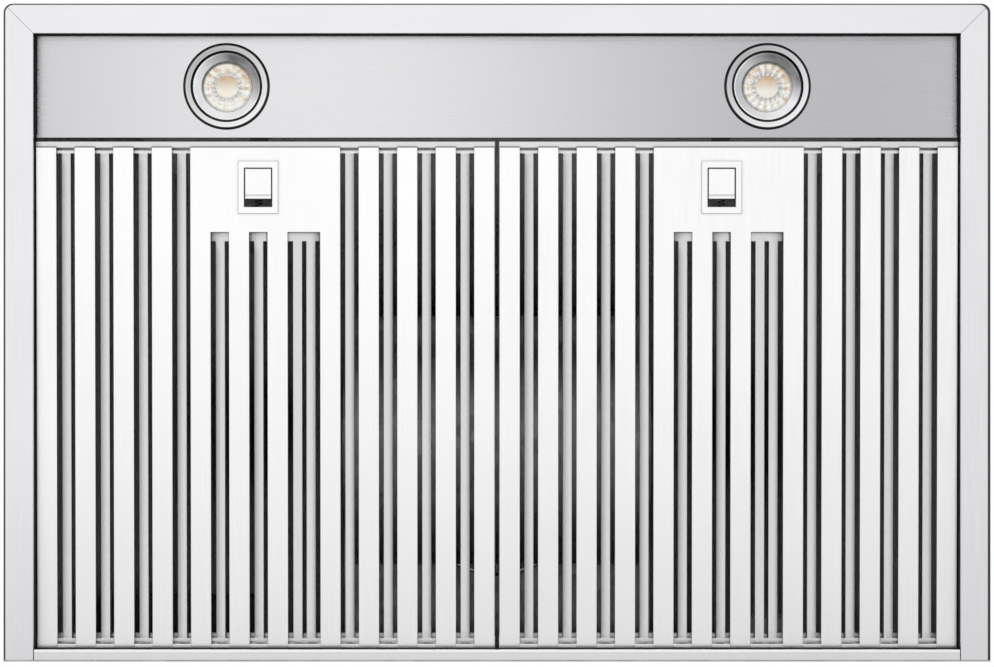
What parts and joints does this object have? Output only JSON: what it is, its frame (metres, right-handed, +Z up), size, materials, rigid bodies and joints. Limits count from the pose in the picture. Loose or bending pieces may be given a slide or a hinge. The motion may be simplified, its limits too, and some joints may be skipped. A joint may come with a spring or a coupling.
{
  "type": "wall mount range hood",
  "caption": "Wall mount chimney range hood: pyramid canopy, recessed light panel with spot lamps, latched baffle filters, blower, damper collar and telescoping chimney.",
  "frame": {"origin": "on the wall plane, on the centre line, level with the underside of the rim", "axes": "+X right as seen from the front, +Y into the wall, +Z up; the front of the hood is at -Y"},
  "size_m": [0.75, 0.5, 0.68],
  "materials": {
    "stainless": "brushed, satin",
    "filter_steel": "smooth, satin",
    "zinc_sheet": "galvanised",
    "lamp_chrome": "satin chrome",
    "lamp_metal": "satin",
    "lamp_lens": "clear, faceted",
    "led_board": "phosphor yellow",
    "white_ceramic": "glazed",
    "motor_alloy": "die-cast",
    "screw_steel": "zinc plated",
    "black_plastic": "moulded",
    "bezel_plastic": "gloss black",
    "board_green": "solder mask",
    "white_plastic": "moulded",
    "button_metal": "spun"
  },
  "bodies": {
    "canopy": {"back_panel": "zinc_sheet", "blower_screws": "screw_steel", "blower_wrapper": "zinc_sheet", "control_bezel": "bezel_plastic", "cord_gland": "black_plastic", "damper_pins": "screw_steel", "front_fascia": "stainless", "front_slope_panel": "stainless", "inlet_rings": "zinc_sheet", "lamp_sockets": "white_ceramic", "led_boards": "led_board", "left_blower_side": "zinc_sheet", "left_fascia": "stainless", "left_lamp_housing": "lamp_metal", "left_lamp_lens": "lamp_lens", "left_lamp_trim": "lamp_chrome", "left_slope_panel": "stainless", "light_panel": "stainless", "lower_chimney": "stainless", "motor": "motor_alloy", "motor_capacitor": "white_plastic", "motor_plate": "zinc_sheet", "outlet_collar": "black_plastic", "power_box": "black_plastic", "power_box_cover": "black_plastic", "rear_rail": "stainless", "right_blower_side": "zinc_sheet", "right_fascia": "stainless", "right_lamp_housing": "lamp_metal", "right_lamp_lens": "lamp_lens", "right_lamp_trim": "lamp_chrome", "right_slope_panel": "stainless", "switch_board": "board_green", "top_plate": "zinc_sheet"},
    "rotor": {"fan_shaft": "screw_steel", "left_fan_wheel": "black_plastic", "right_fan_wheel": "black_plastic"},
    "front_damper": {"front_damper_flap": "zinc_sheet"},
    "rear_damper": {"rear_damper_flap": "zinc_sheet"},
    "left_filter": {"left_filter_frame": "filter_steel", "left_front_baffles": "filter_steel", "left_latch_plate": "filter_steel", "left_rear_baffles": "filter_steel", "left_latch_housing": "filter_steel", "left_latch_spring": "screw_steel"},
    "left_latch": {"left_latch_slide": "filter_steel"},
    "right_filter": {"right_filter_frame": "filter_steel", "right_front_baffles": "filter_steel", "right_latch_plate": "filter_steel", "right_rear_baffles": "filter_steel", "right_latch_housing": "filter_steel", "right_latch_spring": "screw_steel"},
    "right_latch": {"right_latch_slide": "filter_steel"},
    "upper_cover": {"upper_chimney": "stainless", "chimney_bracket": "zinc_sheet"},
    "fan_off_key": {"fan_off_button": "button_metal"},
    "fan_low_key": {"fan_low_button": "button_metal"},
    "fan_medium_key": {"fan_medium_button": "button_metal"},
    "fan_high_key": {"fan_high_button": "button_metal"},
    "light_key": {"light_button": "button_metal"}
  },
  "joints": [
    {"name": "left_filter_swing", "type": "hinge", "parent": "canopy", "child": "left_filter", "pos_m": [0, -0.0085, 0.0145], "axis": [1, 0, 0], "range_deg": [0, 60]},
    {"name": "left_latch_slide", "type": "slide", "parent": "left_filter", "child": "left_latch", "axis": [0, 0.9998, 0.0192], "range_m": [0, 0.005], "stiffness_N_per_m": 500, "springref_m": -0.004, "deforming": ["left_latch_spring"]},
    {"name": "right_filter_swing", "type": "hinge", "parent": "canopy", "child": "right_filter", "pos_m": [0, -0.0085, 0.0145], "axis": [1, 0, 0], "range_deg": [0, 60]},
    {"name": "right_latch_slide", "type": "slide", "parent": "right_filter", "child": "right_latch", "axis": [0, 0.9998, 0.0192], "range_m": [0, 0.005], "stiffness_N_per_m": 500, "springref_m": -0.004, "deforming": ["right_latch_spring"]},
    {"name": "rotor_spin", "type": "hinge", "parent": "canopy", "child": "rotor", "pos_m": [0, -0.172, 0.1555], "axis": [1, 0, 0], "continuous": true},
    {"name": "front_damper_swing", "type": "hinge", "parent": "canopy", "child": "front_damper", "pos_m": [0, -0.12, 0.27], "axis": [-1, 0, 0], "range_deg": [0, 75]},
    {"name": "rear_damper_swing", "type": "hinge", "parent": "canopy", "child": "rear_damper", "pos_m": [0, -0.12, 0.27], "axis": [1, 0, 0], "range_deg": [0, 75]},
    {"name": "chimney_slide", "type": "slide", "parent": "canopy", "child": "upper_cover", "axis": [0, 0, 1], "range_m": [0, 0.3]},
    {"name": "fan_off_press", "type": "slide", "parent": "canopy", "child": "fan_off_key", "axis": [0, 1, 0], "range_m": [0, 0.0025], "stiffness_N_per_m": 800, "springref_m": -0.001},
    {"name": "fan_low_press", "type": "slide", "parent": "canopy", "child": "fan_low_key", "axis": [0, 1, 0], "range_m": [0, 0.0025], "stiffness_N_per_m": 800, "springref_m": -0.001},
    {"name": "fan_medium_press", "type": "slide", "parent": "canopy", "child": "fan_medium_key", "axis": [0, 1, 0], "range_m": [0, 0.0025], "stiffness_N_per_m": 800, "springref_m": -0.001},
    {"name": "fan_high_press", "type": "slide", "parent": "canopy", "child": "fan_high_key", "axis": [0, 1, 0], "range_m": [0, 0.0025], "stiffness_N_per_m": 800, "springref_m": -0.001},
    {"name": "light_press", "type": "slide", "parent": "canopy", "child": "light_key", "axis": [0, 1, 0], "range_m": [0, 0.0025], "stiffness_N_per_m": 800, "springref_m": -0.001}
  ]
}
